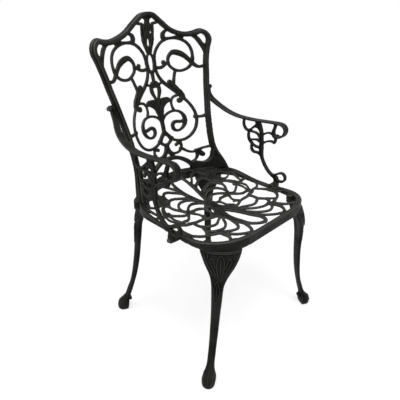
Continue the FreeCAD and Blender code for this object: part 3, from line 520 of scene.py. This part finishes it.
KNEE_RIBS = (
    Rib(((1, 314), (6, 330), (8.5, 347), (8.5, 362), (5, 373), (0, 377)), (3.4,) * 6, 0.7),
    Rib(((0, 322), (0, 340), (0, 356), (0, 367)), (2.0, 3.6, 4.2, 2.5), 0.6),
    Rib(((4, 318), (12, 332), (20, 347), (26, 359), (25.5, 367), (19.5, 367), (15.5, 357), (12.5, 344)),
        (3.0, 3.4, 3.4, 3.4, 3.4, 3.4, 3.0, 2.5), 0.7),
    Rib(((1, 312), (14, 325), (26, 341), (35, 356), (41, 369), (43, 377)),
        (3.6, 3.6, 3.6, 3.6, 3.4, 3.2), 0.65),
    Rib(((34, 379), (32, 370), (35.5, 363)), (3.0, 3.2, 3.0), 0.7),
    Rib(((0, 381), (12, 380.5), (26, 380.5), (40, 381), (49, 381)), (5.0,) * 5, 0.5),
)
SHIN_RIBS = (
    Rib(((1, 311), (4.5, 298), (7, 282), (6, 264), (4, 252), (0, 243)),
        (3.4, 3.2, 3.0, 3.0, 2.8, 2.8), 0.6),
    Rib(((0, 300), (0, 284), (0, 266), (0, 256)), (2.4, 3.0, 2.8, 2.0), 0.5),
    Rib(((7, 291), (10, 292.5), (13, 292)), (2.6, 3.0, 2.4), 0.6),
    Rib(((0, 95), (3, 84), (5, 72), (8.5, 58), (12, 42), (12, 26), (9, 12)),
        (2.6, 2.8, 3.0, 3.6, 4.0, 4.0, 3.4), 0.32),
    Rib(((0, 80), (0, 62), (0, 44), (0, 28), (0, 13)), (2.4, 3.2, 4.0, 4.2, 3.4), 0.28),
)


@dataclass
class BackCasting(Casting):
    """The back, with its band, palmette and plume carved on the front.

    Attributes:
        foot: the foot of its drawing, in millimetres.
        recline: how far it leans to the rear, in degrees.
    """

    foot: tuple[float, float, float] = (0.0, 161.0, 411.0)
    recline: float = 11.0

    def carving(self) -> bmesh.types.BMesh:
        """The ribs of the back."""
        lean = math.radians(self.recline)
        canvas = Canvas(
            self.solid(), origin=Vector(self.foot) * MM + SHIFT, across=ACROSS,
            up=Vector((0, math.sin(lean), math.cos(lean))),
            throw=Vector((0, math.cos(lean), -math.sin(lean))))
        mesh = bmesh.new()
        both(canvas, mesh, BACK_RIBS)
        for flip in (1, -1):
            self.brace(mesh, canvas, flip)
        return mesh

    def brace(self, mesh: bmesh.types.BMesh, canvas: Canvas, flip: int) -> None:
        """Adds the short strand that joins the plume to the band beside the crest.

        Args:
            mesh: where it is added.
            canvas: the place of the drawing on the back.
            flip: minus one for the left strand.
        """
        ends = [canvas.land(flip * x, y) for x, y in BRACE_ENDS]
        if None in ends:
            return
        (start, normal), (end, _) = ends
        side = (end - start).cross(normal).normalized()
        rings = []
        for at in (start, start.lerp(end, 0.5), end):
            middle = at - normal * BRACE_DEPTH / 2
            turns = [math.tau * k / RING_SIDES for k in range(RING_SIDES)]
            rings.append([mesh.verts.new(middle + side * BRACE_WIDTH / 2 * math.cos(turn)
                                         + normal * BRACE_DEPTH / 2 * math.sin(turn)) for turn in turns])
        skin(mesh, rings)


@dataclass
class SeatCasting(Casting):
    """The seat, with veins along its spines and its rear palm."""

    def carving(self) -> bmesh.types.BMesh:
        """The ribs of the seat."""
        canvas = Canvas(self.solid(), origin=SHIFT + Vector((0, 0, SEAT_DRAWING_HEIGHT)), across=ACROSS,
                        up=Vector((0, 1, 0)), throw=Vector((0, 0, -1)))
        mesh = bmesh.new()
        both(canvas, mesh, SEAT_RIBS)
        return mesh


@dataclass
class LegCasting(Casting):
    """A leg, with an acanthus on its knee and flutes on its foot.

    Attributes:
        foot: the middle of its foot, in millimetres.
        bearing: the way it bows outward, in degrees from +X.
        cheek: the further turn of its top, in degrees.
        top_at: the middle of its top along its bearing, in millimetres.
    """

    foot: tuple[float, float] = (0.0, 0.0)
    bearing: float = 0.0
    cheek: float = 0.0
    top_at: float = -80.0

    def face(self, turn: float, at: float) -> Canvas:
        """The outer face of the leg, seen from the outside.

        Args:
            turn: the bearing of the face, in degrees.
            at: the zero of the drawing along the bearing of the leg, in millimetres.

        Returns:
            The canvas.
        """
        way = Vector((math.cos(math.radians(self.bearing)), math.sin(math.radians(self.bearing)), 0))
        out = Vector((math.cos(math.radians(turn)), math.sin(math.radians(turn)), 0))
        start = Vector((*self.foot, 0)) * MM + SHIFT + way * at * MM
        return Canvas(self.solid(), origin=start, across=UPRIGHT.cross(out), up=UPRIGHT, throw=-out)

    def carving(self) -> bmesh.types.BMesh:
        """The ribs of the leg."""
        mesh = bmesh.new()
        both(self.face(self.bearing + self.cheek, self.top_at), mesh, KNEE_RIBS)
        both(self.face(self.bearing, 0.0), mesh, SHIN_RIBS)
        return mesh


# The camera and the studio


@dataclass
class Photographer:
    """The camera of the photograph, placed in the drawing of the chair.

    Attributes:
        at: its place in millimetres.
        right: the direction to the right of the picture.
        upward: the direction up the picture.
        lens: focal length on a sensor 36 mm wide.
    """

    at: tuple[float, float, float] = (-860.0, -767.9, 991.0)
    right: tuple[float, float, float] = (0.6893, -0.7240, 0.0280)
    upward: tuple[float, float, float] = (0.3217, 0.3404, 0.8835)
    lens: float = 39.395

    def set_up(self) -> bpy.types.Object:
        """Makes the camera and puts it in charge."""
        data = bpy.data.cameras.new("photo_camera")
        data.lens = self.lens
        data.sensor_width = 36.0
        data.clip_start = 0.05
        data.clip_end = 50.0
        camera = bpy.data.objects.new("photo_camera", data)
        bpy.context.scene.collection.objects.link(camera)
        right = Vector(self.right).normalized()
        back = right.cross(Vector(self.upward)).normalized()
        up = back.cross(right)
        turn = Matrix((right, up, back)).transposed().to_4x4()
        camera.matrix_world = Matrix.Translation(Vector(self.at) * MM + SHIFT) @ turn
        bpy.context.scene.camera = camera
        return camera


@dataclass
class Studio:
    """A white floor and soft lamps.

    Attributes:
        reach: half width of the floor.
        near: distance from the chair within which the floor shows its shadows, in metres.
        far: distance beyond which it shows plain white, in metres.
        plain: share of plain white in what shows near the chair.
        low: brightness of the room at the height of the eye.
        high: brightness of the room overhead.
    """

    reach: float = 12.0
    near: float = 0.5
    far: float = 1.5
    plain: float = 0.7
    low: float = 0.05
    high: float = 0.7

    def white_for_camera(self, tree: bpy.types.NodeTree, other: bpy.types.NodeSocket,
                         white: bpy.types.NodeSocket,
                         share: bpy.types.NodeSocket | None = None) -> bpy.types.NodeSocket:
        """Shows white to the camera and in reflections, and something else to the rest of the light.

        Args:
            tree: the tree that it goes into.
            other: the shader that lights the chair.
            white: the shader that the camera sees.
            share: how much of it shows, as a socket or None for all of it.

        Returns:
            The mixed shader.
        """
        path = tree.nodes.new("ShaderNodeLightPath")
        mix = tree.nodes.new("ShaderNodeMixShader")
        seen = path.outputs["Is Camera Ray"]
        for label in ("Is Glossy Ray", "Is Transmission Ray"):
            either = tree.nodes.new("ShaderNodeMath")
            either.operation = "MAXIMUM"
            tree.links.new(seen, either.inputs[0])
            tree.links.new(path.outputs[label], either.inputs[1])
            seen = either.outputs[0]
        if share:
            part = tree.nodes.new("ShaderNodeMath")
            part.operation = "MULTIPLY"
            tree.links.new(seen, part.inputs[0])
            tree.links.new(share, part.inputs[1])
            seen = part.outputs[0]
        tree.links.new(seen, mix.inputs["Fac"])
        tree.links.new(other, mix.inputs[1])
        tree.links.new(white, mix.inputs[2])
        return mix.outputs["Shader"]

    def floor(self) -> bpy.types.Object:
        """The white floor under the chair."""
        mesh = bmesh.new()
        bmesh.ops.create_grid(mesh, x_segments=1, y_segments=1, size=self.reach)
        data = bpy.data.meshes.new("floor")
        mesh.to_mesh(data)
        mesh.free()
        floor = bpy.data.objects.new("floor", data)
        bpy.context.scene.collection.objects.link(floor)
        made = bpy.data.materials.new("white_floor")
        made.use_nodes = True
        tree = made.node_tree
        shader = tree.nodes["Principled BSDF"]
        shader.inputs["Base Color"].default_value = (0.75, 0.75, 0.75, 1.0)
        shader.inputs["Roughness"].default_value = 0.9
        glow = tree.nodes.new("ShaderNodeEmission")
        glow.inputs["Strength"].default_value = 1.0
        place = tree.nodes.new("ShaderNodeTexCoord")
        away = tree.nodes.new("ShaderNodeVectorMath")
        away.operation = "LENGTH"
        tree.links.new(place.outputs["Object"], away.inputs[0])
        share = span(tree, away.outputs["Value"], self.near, self.far, self.plain, 1.0)
        shown = self.white_for_camera(tree, shader.outputs["BSDF"], glow.outputs["Emission"], share)
        tree.links.new(shown, tree.nodes["Material Output"].inputs["Surface"])
        dress(floor, made)
        return floor

    def room(self) -> None:
        """The even light of the room, white to the camera."""
        world = bpy.data.worlds.new("room")
        bpy.context.scene.world = world
        world.use_nodes = True
        tree = world.node_tree
        soft = tree.nodes["Background"]
        soft.inputs["Color"].default_value = WHITE
        place = tree.nodes.new("ShaderNodeTexCoord")
        parts = tree.nodes.new("ShaderNodeSeparateXYZ")
        tree.links.new(place.outputs["Generated"], parts.inputs["Vector"])
        strength = span(tree, parts.outputs["Z"], 0.0, 0.8, self.low, self.high)
        tree.links.new(strength, soft.inputs["Strength"])
        white = tree.nodes.new("ShaderNodeBackground")
        white.inputs["Color"].default_value = WHITE
        shown = self.white_for_camera(tree, soft.outputs["Background"], white.outputs["Background"])
        tree.links.new(shown, tree.nodes["World Output"].inputs["Surface"])

    def lamp(self, name: str, at: tuple[float, float, float], size: float, power: float) -> None:
        """A square soft lamp aimed at the middle of the chair.

        Args:
            name: its name.
            at: its place in metres.
            size: the length of its side in metres.
            power: its power in watts.
        """
        data = bpy.data.lights.new(name, "AREA")
        data.size = size
        data.energy = power
        lamp = bpy.data.objects.new(name, data)
        bpy.context.scene.collection.objects.link(lamp)
        turn = (Vector(LAMP_TARGET) - Vector(at)).to_track_quat("-Z", "Y")
        lamp.matrix_world = Matrix.Translation(Vector(at)) @ turn.to_matrix().to_4x4()

    def set_up(self) -> None:
        """Builds the floor, the room and the lamps."""
        self.floor()
        self.room()
        self.lamp("key_lamp", (-0.5, -1.3, 3.1), 1.2, 75.0)
        self.lamp("top_lamp", (-0.7, 0.5, 3.0), 1.6, 85.0)


@dataclass
class Armchair:
    """The whole chair.

    Attributes:
        castings: the castings in the order in which they are remade.
    """

    castings: list[Casting] = field(default_factory=lambda: [
        BackCasting("back_panel", Fineness.BACK, 2, fill=0.75 * MM, keep=0.6),
        SeatCasting("seat_panel", Fineness.SEAT, 1, fill=1.0 * MM, keep=0.6),
        Casting("arm_right", Fineness.ARM, fill=0.2 * MM),
        Casting("arm_left", Fineness.ARM, fill=0.2 * MM),
        LegCasting("leg_front_right", Fineness.LEG, 3, foot=(238.6, -245.0), bearing=-30.0, cheek=-12.0),
        LegCasting("leg_front_left", Fineness.LEG, 3, foot=(-238.6, -245.0), bearing=210.0, cheek=12.0),
        LegCasting("leg_rear_right", Fineness.LEG, 3, foot=(209.5, 159.8), bearing=27.0, cheek=25.0),
        LegCasting("leg_rear_left", Fineness.LEG, 3, foot=(-209.5, 159.8), bearing=153.0, cheek=-25.0)])

    def build(self) -> None:
        """Remakes the castings and dresses every piece."""
        iron = Coating("black_iron_coat").material()
        # The bolts carry the same painted shade in hollows and painted highlight on edges.
        bolts = Coating("bolt_coat", gloss=(0.3, 0.42), relief=0.08 * MM, pits=0.3).material()
        for casting in self.castings:
            casting.build(iron)
        done = {casting.node for casting in self.castings}
        for name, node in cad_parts.items():
            if name not in done:
                dress(node, bolts)
                LOG.info("%s dressed", name)


def main() -> None:
    """Builds the studio, the camera and the chair."""
    bpy.context.scene.view_settings.view_transform = "Standard"
    Photographer().set_up()
    Studio().set_up()
    Armchair().build()


if __name__ == "__main__":
    main()
